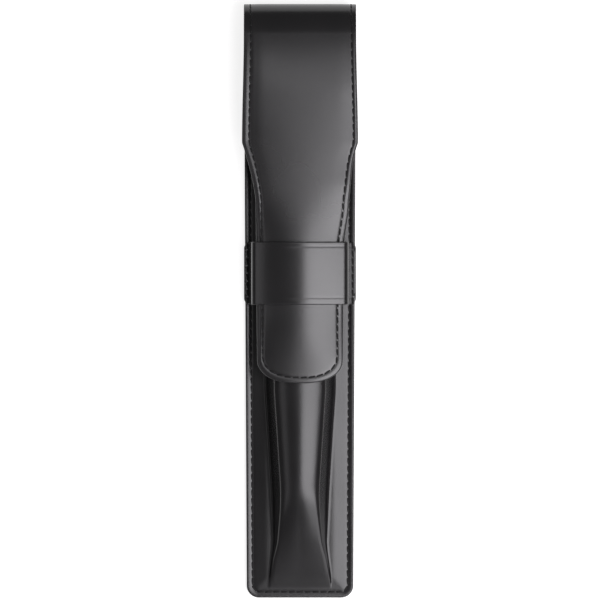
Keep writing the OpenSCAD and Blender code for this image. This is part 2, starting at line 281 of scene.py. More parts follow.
def path_at(y):
    """Place along the sheet of back and flap, round the fold, of a place on the flap's front."""
    return ARC_L + FOLD_Y - y


def a_length(name, description, value):
    """A length for the panel, given in millimetres."""
    return bpy.props.FloatProperty(
        name=name, description=description, default=value * MM, unit="LENGTH")


def a_share(name, description, value, most=1):
    """A share of a whole for the panel."""
    return bpy.props.FloatProperty(name=name, description=description, default=value, min=0, max=most)


def a_colour(name, description, hex_colour):
    """A colour for the panel."""
    return bpy.props.FloatVectorProperty(
        name=name, description=description, subtype="COLOR", min=0, max=1, default=linear(hex_colour))


class SleeveSizes(bpy.types.PropertyGroup):
    """Sizes of the sleeve that its frame doesn't give."""

    bottom_w: a_length("Bottom width", "Width at the bottom edge", 29.6)
    corner_r: a_length("Corner radius", "Radius of the two bottom corners", 3.4)
    ridge_w: a_length("Ridge width", "Width of the moulded ridge at its foot", 20.4)
    waist_w: a_length("Waist width", "Width of the ridge's foot at its waist", 15.2)
    waist_h: a_length("Waist height", "Distance of the waist above the bottom edge", 15.7)
    toe_w: a_length("Toe width", "Width of the ridge's foot where it runs out", 18)
    sink_l: a_length("Slope length", "Length over which the ridge sinks to the margin", 30)
    late_slope: a_share("Late slope", "Share by which the slope is shorter on the right", 0.1, most=0.8)
    toe_margin: a_length("Toe margin", "Flat margin below the ridge", 2.5)
    shoulder_r: a_length("Shoulder radius", "Radius between the ridge's crown and its walls", 3)
    foot_r: a_length("Foot radius", "Radius between the ridge's walls and the margin", 1)
    arch_drop: a_length("Arch", "Drop of the flap's edges below its middle", 3)
    arch_run: a_length("Arch run", "Length below the fold over which the flap takes its early arch", 40)
    early_arch: a_share("Early arch", "Share of the arch that the flap takes before it narrows", 0.3)
    tip_flatness: a_share("Tip flatness", "Share of the arch that is lost towards the tongue's tip", 0.6)
    wide_drop: a_length("Wide part", "Distance from the top to where the flap narrows", 38.6)
    narrow_drop: a_length("Tongue start", "Distance from the top to where the tongue starts", 55.4)
    tongue_top_w: a_length("Tongue top width", "Width of the tongue where it starts", 24.6)
    tongue_w: a_length("Tongue width", "Width of the tongue above its tip", 23.8)
    tip_l: a_length("Tip length", "Length of the tongue's rounded tip", 6.4)
    slide_gap: a_length("Running gap", "Gap over and under the tongue", 0.3)
    fold_dip: a_length("Fold softness", "How far the front of the fold has sunk with wear", 1.2)
    flap_dip: a_length("Flap dip", "How far the flap comes down above the band", 0.6)
    late_edge: a_length("Late edge", "How much wider the flap stays on its right as it narrows", 1.25)
    pad_rise: a_length("Padding", "How far the flap swells inside its seam", 0.12)
    rim_lift: a_length("Rim lift", "How far a rim turns up outside its seam", 0.12)
    rim_roll: a_length("Rim roll", "How far the last millimetre of a rim rolls down", 0.3)
    margin_fall: a_length("Margin fall", "How far the body's margin is drawn down at its seam", 0.3)
    groove_depth: a_length("Seam groove", "Depth of the groove that the thread draws", 0.1)
    groove_w: a_length("Groove width", "Half width of the groove along a seam", 0.35)
    crease_depth: a_length("Crease depth", "Depth of the creases along the band", 0.035)
    edge_r: a_length("Edge radius", "Radius of the painted edges", 0.3)
    pitch: a_length("Stitch length", "Distance from hole to hole", 2.2)
    thread_d: a_length("Thread", "Diameter of the thread", 0.6)
    seam_inset: a_length("Body seam", "Distance of the body's seam from the edge", 1.6)
    flap_inset: a_length("Flap seam", "Distance of the flap's seam from the edge", 1.6)
    seam_shift: a_length("Seam shift", "How far the flap's seam sits to the right on its wide part", 0.35)
    band_inset: a_length("Band seam", "Distance of the seam from the band's ends", 0.9)


class SleeveColours(bpy.types.PropertyGroup):
    """Colours of the finishes."""

    calf: a_colour("Calf", "Back and flap", "#181718")
    glazed: a_colour("Glazed calf", "Front and band", "#161516")
    edge: a_colour("Edge paint", "Cut edges", "#161516")
    thread: a_colour("Thread", "Waxed thread", "#0e0d0e")
    lining: a_colour("Lining", "Pigskin lining", "#232224")
    floor: a_colour("Floor", "Pale paper under the sleeve", "#f4f3f2")


class Pattern:
    """The sleeve's cutting pattern: the outlines and heights that its pieces share."""

    def __init__(self, sizes):
        for name in SleeveSizes.__annotations__:
            setattr(self, name, getattr(sizes, name))
        self.wide_y = HALF_L - self.wide_drop
        self.narrow_y = HALF_L - self.narrow_drop
        self.tip_start_y = TIP_Y + self.tip_l
        self.ring_top_y = TIP_Y + self.tongue_w / 2
        self.taper_y = TIP_Y - FULL_RIDGE_UNDER_TIP
        self.sink_end_y = self.toe_margin - HALF_L
        self.waist_y = self.waist_h - HALF_L
        self.shoulder = (
            (CROWN_EDGE, SHOULDER_TURN, self.shoulder_r), (SHOULDER_TURN, WALL_LEAN, TIGHT_R))
        rise = POCKET_H - self.foot_r * (1 - math.cos(WALL_LEAN))
        rise -= sum(r * (math.cos(a) - math.cos(b)) for a, b, r in self.shoulder)
        self.wall_run = sum(r * (math.sin(b) - math.sin(a)) for a, b, r in self.shoulder)
        self.wall_run += rise / math.tan(WALL_LEAN) + self.foot_r * math.sin(WALL_LEAN)

    # Outlines

    def body_half(self, y):
        """Half the width of the back and the front."""
        return lerp(self.bottom_w, FOLD_W, (y + HALF_L) / (FOLD_Y + HALF_L)) / 2

    def flap_half(self, y, side=-1):
        """Half the width of the flap above its tip. The right side narrows later than the left."""
        if side > 0:
            late = ease((LATE_TOP_Y - y) / LATE_RUN) * ease((y - LATE_LOW_Y) / LATE_RUN)
            return self.flap_half(y) + self.late_edge * late
        if y > self.wide_y:
            share = ease((y - self.wide_y) / (FOLD_Y - self.wide_y))
            return lerp(FLAP_W, FOLD_W, share) / 2
        if y > self.narrow_y:
            share = ((y - self.narrow_y) / (self.wide_y - self.narrow_y)) ** NECK_POWER
            return lerp(self.tongue_top_w, FLAP_W, share) / 2
        share = (y - self.tip_start_y) / (self.narrow_y - self.tip_start_y)
        return lerp(self.tongue_w, self.tongue_top_w, share) / 2

    def half_at(self, s, side):
        """Half the width of back and flap at a place along the sheet."""
        return FOLD_W / 2 if s < ARC_L else self.flap_half(FOLD_Y + ARC_L - s, side)

    def flap_inset_at(self, s, side):
        """Distance of the flap's seam from the edge along the sheet. It moves over a little round the
        fold, and the whole row sits a little to the right on the wide part."""
        shift = side * self.seam_shift * self.rim_share(FOLD_Y - max(0.0, s - ARC_L))
        return lerp(self.seam_inset, self.flap_inset - shift, clamp(s / ARC_L))

    def tongue_ring(self, edge):
        """Half of the line at a distance from the edge round the tip, from its side to its middle."""
        top_y = self.ring_top_y
        tip = max(0.0, min(self.tip_l - edge / 2, self.flap_half(top_y) - edge))
        turn_y = TIP_Y + edge + tip
        wide = self.flap_half(turn_y) - edge
        points = [Vector((self.flap_half(y) - edge, y)) for y in (top_y, lerp(top_y, turn_y, 0.5))]
        for angle in divided(0, math.pi / 2, TIP_CELLS):
            x = wide * max(0.0, math.cos(angle)) ** (2 / TIP_POWER)
            points.append(Vector((x, turn_y - tip * math.sin(angle))))
        return points

    def corner_centre(self):
        """Centre of the rounded bottom corner on the right."""
        y = self.corner_r - HALF_L
        return self.body_half(y) - self.corner_r, y

    def corner_point(self, from_side, from_low):
        """A place on a rounded bottom corner and its distance from the edge, for its column and row
        counted from the two edges."""
        cells = len(BODY_RIM) - 1
        centre_x, centre_y = self.corner_centre()
        p, q = cells - from_side, cells - from_low
        ring = max(p, q)
        if ring == 0:
            return centre_x, centre_y, BODY_RIM[-1]
        angle = math.pi / 4 * (q / p if p >= q else 2 - p / q)
        edge = BODY_RIM[cells - ring]
        radius = self.corner_r - edge
        return centre_x + radius * math.cos(angle), centre_y - radius * math.sin(angle), edge

    # Relief of the seams and rims

    def roll(self, edge):
        """Height that the last millimetre of a rim loses."""
        return self.rim_roll * max(0.0, 1 - edge / ROLL_W) ** 2

    def relief(self, edge, inset, rise):
        """Height that the seam's groove and the padding inside it add to a face."""
        groove = self.groove_depth * math.exp(-((edge - inset) / self.groove_w) ** 2)
        return rise * ease((edge - inset) / SWELL_W) - groove

    def rim_turn(self, edge, inset):
        """Height that a rim gains outside its seam."""
        return self.rim_lift * max(0.0, inset - edge) / inset

    def rim_share(self, y):
        """How flat the flap's rim lies: fully on the wide part, not at all on the tongue."""
        return ease((y - self.narrow_y) / (self.wide_y - self.narrow_y))

    def margin_height(self, edge):
        """Height of the margin round the ridge: drawn down at the seam, turned up at the rim."""
        fall = self.margin_fall * clamp((MARGIN_FALL_EDGE - edge) / (MARGIN_FALL_EDGE - self.seam_inset))
        rim = self.rim_turn(edge, self.seam_inset) - MARGIN_ROLL * self.roll(edge)
        return MARGIN_Z - fall + self.relief(edge, self.seam_inset, 0) + rim

    # Form of the flap

    def arch(self, y):
        """Drop of the flap's edges, none at the fold, whole under the band, less at the tip."""
        early = self.early_arch * ease((FOLD_Y - y) / self.arch_run)
        late = (1 - self.early_arch) * ease((self.wide_y - LATE_ARCH_DROP - y) / LATE_ARCH_RUN)
        kept = 1 - self.tip_flatness * ease((BAND_LOW_Y - y) / (BAND_LOW_Y - TIP_Y))
        return self.arch_drop * (early + late) * kept

    def sunk(self, y, z):
        """How far the worn front of the fold and the flap lie below a true half round."""
        worn = self.fold_dip * swing((y - DIP_START_Y) / (DIP_END_Y - DIP_START_Y), DIP_PEAK)
        worn += self.flap_dip * ease((y - FLAP_DIP_Y) / FLAP_DIP_RUN)
        return worn * z / FLAP_Z

    def flap_point(self, x, s, edge, depth):
        """A point of back and flap, below its face by depth: s runs round the fold and down the front."""
        if s >= ARC_L:
            return self.front_flap_point(x, FOLD_Y + ARC_L - s, edge, depth)
        inset = self.flap_inset_at(s, math.copysign(1, x))
        face = self.relief(edge, inset, self.pad_rise * ease(s / ARC_L)) * max(0.0, 1 - depth / PANEL_T)
        radius = FOLD_R + face - depth
        angle = s / FOLD_R
        y = FOLD_Y + radius * math.sin(angle)
        z = FOLD_R - radius * math.cos(angle)
        return Vector((x, y, z - self.sunk(y, z)))

    def front_flap_point(self, x, y, edge, depth):
        """A point of the flap on the front, for a distance from its edge."""
        inset = self.flap_inset_at(path_at(y), math.copysign(1, x))
        share = self.rim_share(y)
        rim_kept = lerp(TONGUE_SHARE, 1.0, share)
        face = self.relief(edge, inset, self.pad_rise * rim_kept) * max(0.0, 1 - depth / PANEL_T)
        at_seam = abs(x) - max(0.0, inset - edge)
        across = lerp(abs(x), at_seam, share) / (FLAP_W / 2)
        start = ease((FOLD_Y - y) / RIM_START_RUN)
        z = FLAP_Z - self.arch(y) * across ** 2
        z += (self.rim_turn(edge, inset) * share - self.roll(edge) * rim_kept) * start
        z += face - depth
        return Vector((x, y, z - self.sunk(y, z)))

    # Form of the ridge

    def ridge_foot(self, y):
        """Half the width of the ridge at its foot."""
        if y > self.waist_y:
            share = min(1.0, (y - self.waist_y) / (self.taper_y - self.waist_y))
            return lerp(self.waist_w, self.ridge_w, share) / 2
        share = ease((y - self.sink_end_y) / (self.waist_y - self.sink_end_y))
        return lerp(self.toe_w, self.waist_w, share) / 2

    def ridge_half(self, foot):
        """Half the crown's width, and the right half of the ridge's section over the margin, from its
        middle to its foot."""
        crown = (foot - self.wall_run) / (1 - math.tan(CROWN_EDGE / 2) / math.tan(WALL_LEAN))
        radius = crown / math.sin(CROWN_EDGE)
        points = []
        for angle in divided(0, CROWN_EDGE, CROWN_CELLS):
            points.append((radius * math.sin(angle), POCKET_H - radius * (1 - math.cos(angle))))
        for start, end, radius in self.shoulder:
            centre_x = points[-1][0] - radius * math.sin(start)
            centre_z = points[-1][1] - radius * math.cos(start)
            points += [(centre_x + radius * math.sin(angle), centre_z + radius * math.cos(angle))
                       for angle in divided(start, end, SHOULDER_CELLS)[1:]]
        foot_turn = []
        for angle in divided(WALL_LEAN, 0, FOOT_CELLS):
            foot_turn.append((foot - self.foot_r * math.sin(angle), self.foot_r * (1 - math.cos(angle))))
        wall_x, wall_z = (divided(a, b, WALL_CELLS)[1:] for a, b in zip(points[-1], foot_turn[0]))
        return crown, points + list(zip(wall_x, wall_z)) + foot_turn[1:]

    def slope_lag(self, across, side):
        """Share by which the end slope is shorter at a place across: it starts lower on the right."""
        if side > 0:
            return self.late_slope * ease(lerp(MIDDLE_LAG, 1.0, across))
        return self.late_slope * ease(MIDDLE_LAG) * ease(1 - across)

    def ridge_row(self, y, side=1):
        """The ridge's foot and half section at a place. Down the end slope the walls shrink to their
        foot, and at the mouth the ridge gives way to the worn flap."""
        foot = self.ridge_foot(y)
        crown, points = self.ridge_half(foot)
        keep = max(WALL_KEEP, ease((y - self.sink_end_y) / self.sink_l))
        full = 1 - max(0.0, self.sunk(y, FLAP_Z) - self.slide_gap) / POCKET_H
        row = []
        for x, z in points:
            at = foot - keep * (foot - max(x, crown))
            slope_l = self.sink_l * (1 - self.slope_lag(x / foot, side))
            height = slide((y - self.sink_end_y) / slope_l)
            row.append((at if x > crown else at * x / crown, full * height * z))
        return foot, row

    # Form of the band

    def band_half(self):
        """Right half of the band's section, from its middle over its corner to its flat end."""
        total = BAND_T + BAND_LINING_T
        corner_r = BAND_CORNER_OVER + total
        wall_x = self.flap_half(BAND_TOP_Y) + self.slide_gap + total
        lean = math.atan(2 * self.arch_drop * wall_x / (FLAP_W / 2) ** 2)
        corner_x = wall_x - corner_r
        reach = (corner_x + corner_r * math.sin(lean)) / (FLAP_W / 2)
        corner_z = BAND_Z - self.arch_drop * reach ** 2 - corner_r * math.cos(lean)
        foot_z = MARGIN_Z + total
        points = [Vector((x, BAND_Z - self.arch_drop * (x / (FLAP_W / 2)) ** 2))
                  for x in divided(0, corner_x, BAND_TOP_CELLS)]
        for angle in divided(lean, math.pi / 2, BAND_CORNER_CELLS):
            x = corner_x + corner_r * math.sin(angle)
            points.append(Vector((x, corner_z + corner_r * math.cos(angle))))
        for z in divided(corner_z, foot_z + BAND_FOOT_R, BAND_END_CELLS)[1:-1]:
            points.append(Vector((wall_x, z)))
        for angle in divided(math.pi / 2, 0, BAND_END_CELLS):
            x = wall_x + BAND_FOOT_R * (1 - math.sin(angle))
            points.append(Vector((x, foot_z + BAND_FOOT_R * (1 - math.cos(angle)))))
        for x in divided(points[-1].x, BAND_END_X, BAND_END_CELLS)[1:]:
            points.append(Vector((x, foot_z)))
        return points


# Lines and sections


def lengths(points):
    """Lengths of the stretches between the points of a line."""
    return [(b - a).length for a, b in zip(points, points[1:])]


def stretch_at(steps, distance):
    """The stretch of a line that a distance along it falls in, and the share of it before that place."""
    for k, step in enumerate(steps):
        if distance <= step + ROUNDING:
            return k, distance / step if step else 0
        distance -= step
    return len(steps) - 1, 1


def along(points, share):
    """The point at a share of the length of a line of points."""
    steps = lengths(points)
    k, part = stretch_at(steps, share * sum(steps))
    return points[k].lerp(points[k + 1], part)


def joined(left, right):
    """A whole row from its two halves, which both start in the middle."""
    return left[:0:-1] + right


def mirrored(half):
    """A whole section from its right half, whose first point is in the middle."""
    return joined([Vector((-x, z)) for x, z in half], [Vector(p) for p in half])


def moved_in(section, depth):
    """A section moved inwards by a depth, square to itself."""
    moved = []
    for i, point in enumerate(section):
        normal = Vector((0, 1))
        if 0 < i < len(section) - 1:
            run = section[i + 1] - section[i - 1]
            normal = Vector((-run.y, run.x)).normalized()
        moved.append(point - depth * normal)
    return moved


def column_edges(half, rim, cells):
    """Distances from the edge of the columns, from the middle out to one side."""
    return divided(half, rim[-1], cells)[:-1] + rim[::-1]


# Sheets


def add_object(name, bm, materials):
    """Makes a finished mesh an object at the origin."""
    mesh = bpy.data.meshes.new(name)
    bm.to_mesh(mesh)
    bm.free()
    for polygon in mesh.polygons:
        polygon.use_smooth = True
    for material in materials:
        mesh.materials.append(material)
    piece = bpy.data.objects.new(name, mesh)
    bpy.context.scene.collection.objects.link(piece)
    return piece


def leather_sheet(name, outer, inner, painted, edge_r, materials):
    """Bends a slab to an outer and an inner skin, each a list of rows of points. The borders named in
    painted get painted round edges, with the second of the two materials."""
    rows, cols = len(outer) - 1, len(outer[0]) - 1
    bm = bmesh.new()
    bmesh.ops.create_grid(bm, x_segments=cols, y_segments=rows, size=0.5)
    bmesh.ops.solidify(bm, geom=bm.faces[:], thickness=1)
    col = bm.verts.layers.int.new("col")
    row = bm.verts.layers.int.new("row")
    skin = bm.verts.layers.int.new("skin")
    for vert in bm.verts:
        vert[col] = round((vert.co.x + 0.5) * cols)
        vert[row] = round((vert.co.y + 0.5) * rows)
        vert[skin] = round(abs(vert.co.z))
        vert.co = (inner if vert[skin] else outer)[vert[row]][vert[col]]
    borders = {"left": (col, 0), "right": (col, cols), "low": (row, 0), "high": (row, rows)}
    round_edges = []
    for border, (layer, at) in borders.items():
        for edge in bm.edges:
            a, b = edge.verts
            if a[layer] == b[layer] == at and a[skin] == b[skin]:
                if border in painted:
                    round_edges.append(edge)
                else:
                    edge.smooth = False
    for face in bm.faces:
        if len({vert[skin] for vert in face.verts}) == 2:
            ends = (borders[border] for border in painted)
            if any(all(vert[layer] == at for vert in face.verts) for layer, at in ends):
                face.material_index = 1
    bmesh.ops.recalc_face_normals(bm, faces=bm.faces[:])
    if round_edges:
        made = bmesh.ops.bevel(
            bm, geom=round_edges, offset=edge_r, offset_type="ABSOLUTE", segments=3, profile=0.5,
            affect="EDGES", material=-1)
        for face in made["faces"]:
            face.material_index = 1
    bmesh.ops.recalc_face_normals(bm, faces=bm.faces[:])
    return add_object(name, bm, materials)


def lined_sheet(names, skins, painted, radii, calf):
    """A leather sheet and the lining glued to it, from their outer, middle and inner skins, with the
    names and the edge radii of both."""
    return [
        leather_sheet(name, outer, inner, painted, radius, finishes(finish, "edge_paint"))
        for name, outer, inner, radius, finish in zip(
            names, skins, skins[1:], radii, (calf, "pigskin_lining"))]


# Materials


def add_node(tree, kind, values=(), links=(), **settings):
    """Adds a node with its own settings, values for its sockets and links into them."""
    made = tree.nodes.new(kind)
    for name, value in settings.items():
        setattr(made, name, value)
    for socket, value in dict(values).items():
        made.inputs[socket].default_value = value
    for socket, source in dict(links).items():
        tree.links.new(source, made.inputs[socket])
    return made


def new_tree(name):
    """A new material and its empty node tree."""
    material = bpy.data.materials.new(name)
    material.use_nodes = True
    material.node_tree.nodes.clear()
    return material, material.node_tree


def finish_tree(tree, colour, tone, bump, values, links=()):
    """Ends a sleeve finish: its colour, lighter and darker by the tone, on a surface with that bump."""
    shade = add_node(
        tree, "ShaderNodeVectorMath", {0: tuple(colour)}, {"Scale": tone.outputs["Result"]},
        operation="SCALE")
    surface = {"Base Color": shade.outputs["Vector"], "Normal": bump.outputs["Normal"], **dict(links)}
    shader = add_node(tree, "ShaderNodeBsdfPrincipled", values, surface)
    add_node(tree, "ShaderNodeOutputMaterial", links={"Surface": shader.outputs["BSDF"]})


def leather(name, colour, pore, roughness, ior=1.5):
    """Calf that was plated smooth: closed pores a fraction of a millimetre apart under a clear finish,
    with clouding in its black and its gloss where hands and the plate have pressed it unevenly."""
    material, tree = new_tree(name)
    place = add_node(tree, "ShaderNodeTexCoord").outputs["Object"]
    pores = add_node(
        tree, "ShaderNodeTexVoronoi", {"Scale": 1 / pore, "Randomness": 0.9}, {"Vector": place},
        feature="SMOOTH_F1")
    fibre = add_node(
        tree, "ShaderNodeTexNoise", {"Scale": 1 / FIBRE_W, "Detail": 4.0, "Roughness": 0.6},
        {"Vector": place})
    cloud = add_node(
        tree, "ShaderNodeTexNoise", {"Scale": 1 / CLOUD_W, "Detail": 2.0}, {"Vector": place})
    tone = add_node(
        tree, "ShaderNodeMapRange", {"To Min": 0.4, "To Max": 1.6}, {"Value": cloud.outputs["Fac"]})
    gloss = add_node(
        tree, "ShaderNodeMapRange", {"To Min": roughness * 0.7, "To Max": roughness * 1.3},
        {"Value": cloud.outputs["Fac"]})
    grain = add_node(
        tree, "ShaderNodeBump", {"Strength": 0.22, "Distance": 0.012 * MM},
        {"Height": pores.outputs["Distance"]})
    skin = add_node(
        tree, "ShaderNodeBump", {"Strength": 0.3, "Distance": 0.02 * MM},
        {"Height": fibre.outputs["Fac"], "Normal": grain.outputs["Normal"]})
    finish_tree(tree, colour, tone, skin, {"IOR": ior}, {"Roughness": gloss.outputs["Result"]})
    return material


def edge_paint(name, colour):
    """Acrylic edge paint, rubbed down between coats: satin, with shallow waves along the edge."""
    material, tree = new_tree(name)
    place = add_node(tree, "ShaderNodeTexCoord").outputs["Object"]
    waves = add_node(
        tree, "ShaderNodeTexNoise", {"Scale": 1 / PAINT_WAVE_W, "Detail": 2.0}, {"Vector": place})
    tone = add_node(
        tree, "ShaderNodeMapRange", {"From Min": 0.3, "From Max": 0.7, "To Min": 0.8, "To Max": 1.25},
        {"Value": waves.outputs["Fac"]})
    bump = add_node(
        tree, "ShaderNodeBump", {"Strength": 0.4, "Distance": 0.05 * MM},
        {"Height": waves.outputs["Fac"]})
    finish_tree(tree, colour, tone, bump, {"Roughness": 0.38, "IOR": 1.49})
    return material


def waxed_thread(name, colour, diameter):
    """Waxed polyester thread: three plies twisted together, each a soft ridge that crosses slantwise, with
    painted shade in the grooves between them and painted light on their crowns.
    """
    material, tree = new_tree(name)
    place = add_node(tree, "ShaderNodeUVMap", uv_map="thread").outputs["UV"]
    split = add_node(tree, "ShaderNodeSeparateXYZ", links={"Vector": place})
    turns = add_node(
        tree, "ShaderNodeMath", {1: 1 / (PLY_TURN * diameter)}, {0: split.outputs["Y"]},
        operation="MULTIPLY")
    around = add_node(
        tree, "ShaderNodeMath", {1: PLIES}, {0: split.outputs["X"]}, operation="MULTIPLY")
    phase = add_node(
        tree, "ShaderNodeMath", links={0: turns.outputs[0], 1: around.outputs[0]}, operation="ADD")
    ply = add_node(tree, "ShaderNodeMath", {1: 1.0}, {0: phase.outputs[0]}, operation="PINGPONG")
    # Painted shade and light: the colour follows the ply height, darker in the grooves and lighter on the
    # crowns
    tone = add_node(
        tree, "ShaderNodeMapRange", {"To Min": 0.5, "To Max": 1.5}, {"Value": ply.outputs[0]})
    bump = add_node(
        tree, "ShaderNodeBump", {"Strength": 0.8, "Distance": 0.12 * diameter},
        {"Height": ply.outputs[0]})
    finish_tree(tree, colour, tone, bump, {"Roughness": 0.62, "IOR": 1.35})
    return material


def pigskin(name, colour):
    """Sueded pigskin lining: matt, with bristle holes about a millimetre apart that are painted darker as
    shade inside them, and a short nap that lightens towards grazing views."""
    material, tree = new_tree(name)
    place = add_node(tree, "ShaderNodeTexCoord").outputs["Object"]
    holes = add_node(
        tree, "ShaderNodeTexVoronoi", {"Scale": 1 / BRISTLE_GAP, "Randomness": 1.0}, {"Vector": place})
    nap = add_node(
        tree, "ShaderNodeTexNoise", {"Scale": 1 / NAP_W, "Detail": 3.0}, {"Vector": place})
    # Painted shade: the colour darkens towards the middle of each bristle hole, where the recess would be
    # in shade
    tone = add_node(
        tree, "ShaderNodeMapRange", {"From Max": 0.35, "To Min": 0.35, "To Max": 1.0},
        {"Value": holes.outputs["Distance"]})
    bump = add_node(
        tree, "ShaderNodeBump", {"Strength": 0.5, "Distance": 0.06 * MM}, {"Height": nap.outputs["Fac"]})
    finish_tree(
        tree, colour, tone, bump,
        {"Roughness": 0.85, "IOR": 1.45, "Sheen Weight": 0.25, "Sheen Roughness": 0.5})
    return material


def floor_paper(name, colour):
    """Matt white background paper: it shows as white and keeps the sleeve's soft shadow."""
    material, tree = new_tree(name)
    rays = add_node(tree, "ShaderNodeLightPath").outputs
    seen = add_node(
        tree, "ShaderNodeMath", links={0: rays["Is Camera Ray"], 1: rays["Is Glossy Ray"]},
        operation="MAXIMUM")
    shown = add_node(
        tree, "ShaderNodeMath", links={0: seen.outputs[0], 1: rays["Is Transmission Ray"]},
        operation="MAXIMUM")
    place = add_node(tree, "ShaderNodeTexCoord").outputs["Object"]
    fleck = add_node(
        tree, "ShaderNodeTexNoise", {"Scale": 1 / FLECK_W, "Detail": 3.0}, {"Vector": place})
    bump = add_node(
        tree, "ShaderNodeBump", {"Strength": 0.1, "Distance": 0.02 * MM}, {"Height": fleck.outputs["Fac"]})
    glow = add_node(
        tree, "ShaderNodeMath", {1: FLOOR_GLOW}, {0: shown.outputs[0]}, operation="MULTIPLY")
    shader = add_node(
        tree, "ShaderNodeBsdfPrincipled",
        {"Roughness": 0.95, "Base Color": (*(FLOOR_SHADE * c for c in colour), 1),
         "Emission Color": (1, 1, 1, 1)},
        {"Emission Strength": glow.outputs[0], "Normal": bump.outputs["Normal"]})
    add_node(tree, "ShaderNodeOutputMaterial", links={"Surface": shader.outputs["BSDF"]})
    return material


def finish_of(name):
    """The material of that name, made the first time that a piece asks for it."""
    if name in bpy.data.materials:
        return bpy.data.materials[name]
    scene = bpy.context.scene
    colours, sizes = scene.sleeve_colours, scene.sleeve_sizes
    makers = {
        "plated_calf": lambda: leather(name, colours.calf, pore=0.42 * MM, roughness=0.25),
        "glazed_calf": lambda: leather(name, colours.glazed, pore=0.36 * MM, roughness=0.24, ior=1.42),
        "burnished_calf": lambda: leather(name, colours.glazed, pore=0.3 * MM, roughness=0.2),
        "edge_paint": lambda: edge_paint(name, colours.edge),
        "waxed_thread": lambda: waxed_thread(name, colours.thread, sizes.thread_d),
        "pigskin_lining": lambda: pigskin(name, colours.lining),
        "background_paper": lambda: floor_paper(name, colours.floor),
    }
    return makers[name]()


def finishes(*names):
    """The materials of those names."""
    return [finish_of(name) for name in names]


# Back


def back_plan(pattern):
    """Columns of the flat back as places and distances from the edge, row by row. The first rows turn
    round the bottom corners."""
    rim_cells = len(BODY_RIM) - 1
    ys = [edge - HALF_L for edge in BODY_RIM[:-1]] + spread(BODY_RIM[-1] - HALF_L, FOLD_Y, BACK_STEP)
    rows = []
    for j, y in enumerate(ys):
        half = pattern.body_half(y)
        edges = column_edges(half, BODY_RIM, BACK_CELLS)
        last = len(edges) - 1
        row = []
        for i in range(-last, last + 1):
            from_side = last - abs(i)
            if j < rim_cells and from_side < rim_cells:
                x, place_y, edge = pattern.corner_point(from_side, j)
            else:
                x, place_y, edge = half - edges[abs(i)], y, min(edges[abs(i)], y + HALF_L)
            row.append((math.copysign(x, i), place_y, edge))
        rows.append(row)
    return rows


class SLEEVE_OT_back(bpy.types.Operator):
    """Make the back and its lining."""

    bl_idname = "sleeve.back"
    bl_label = "Back"

    def execute(self, context):
        pattern = Pattern(context.scene.sleeve_sizes)
        plan = back_plan(pattern)
        heights = (
            lambda edge: -pattern.relief(edge, pattern.seam_inset, 0),
            lambda edge: PANEL_T,
            lambda edge: FLOOR_Z)
        skins = [[[Vector((x, y, height(edge))) for x, y, edge in row] for row in plan]
                 for height in heights]
        panel, lining = lined_sheet(
            ("back_panel_leather", "back_lining_skin"), skins, {"left", "right", "low"},
            (pattern.edge_r, LINING_EDGE_R), "plated_calf")
        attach(panel, "root")
        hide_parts("back_panel")
        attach(lining, "root")
        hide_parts("back_lining")
        return {"FINISHED"}


# Front


def front_plan(pattern):
    """Rows of points of the front's face, from the bottom edge up to the mouth."""
    rim_cells = len(BODY_RIM) - 1
    sink_top = pattern.sink_end_y + pattern.sink_l
    mouth = [MOUTH_Y - edge for edge in reversed(BODY_RIM)]
    ys = [edge - HALF_L for edge in BODY_RIM[:-1]]
    ys += spread(BODY_RIM[-1] - HALF_L, sink_top, SLOPE_STEP)
    ys += spread(sink_top, pattern.taper_y, TAPER_STEP)[1:]
    ys += spread(pattern.taper_y, mouth[0], RIDGE_STEP)[1:] + mouth[1:]
    rows = []
    for j, y in enumerate(ys):
        lip = pattern.relief(MOUTH_Y - y, pattern.seam_inset, 0)
        half = pattern.body_half(y)
        sides = []
        for side in (-1, 1):
            foot, ridge = pattern.ridge_row(y, side)
            flat = divided(foot, half - BODY_RIM[-1], MARGIN_CELLS)[1:-1]
            flat += [half - edge for edge in reversed(BODY_RIM)]
            section = ridge + [(x, 0.0) for x in flat]
            half_row = [(x, y, min(half - x, y + HALF_L), height) for x, height in section]
            if j < rim_cells:
                for from_side in range(rim_cells):
                    half_row[-1 - from_side] = (*pattern.corner_point(from_side, j), 0.0)
            sides.append([Vector((side * x, place_y, pattern.margin_height(edge) + height + lip))
                          for x, place_y, edge, height in half_row])
        rows.append(joined(*sides))
    return rows


def below(row, depth):
    """A row of the front's face moved inwards by a depth: square to the ridge, and straight down on
    the margin."""
    section = moved_in([Vector((p.x, p.z)) for p in row], depth)
    moved = []
    for p, q in zip(row, section):
        on_ridge = clamp((p.z - MARGIN_Z) / INWARD_RISE)
        z = lerp(MARGIN_Z - depth, q.y, on_ridge)
        moved.append(Vector((lerp(p.x, q.x, on_ridge), p.y, z)))
    return moved


class SLEEVE_OT_front(bpy.types.Operator):
    """Make the moulded front and its lining."""

    bl_idname = "sleeve.front"
    bl_label = "Front"

    def execute(self, context):
        pattern = Pattern(context.scene.sleeve_sizes)
        face = front_plan(pattern)
        skins = [face] + [[below(row, depth) for row in face] for depth in (FRONT_T, FRONT_T + LINING_T)]
        panel, lining = lined_sheet(
            ("front_panel_leather", "front_lining_skin"), skins, {"left", "right", "low", "high"},
            (pattern.edge_r, LINING_EDGE_R), "glazed_calf")
        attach(panel, "root")
        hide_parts("front_panel")
        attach(lining, "root")
        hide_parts("front_lining")
        return {"FINISHED"}


# Band


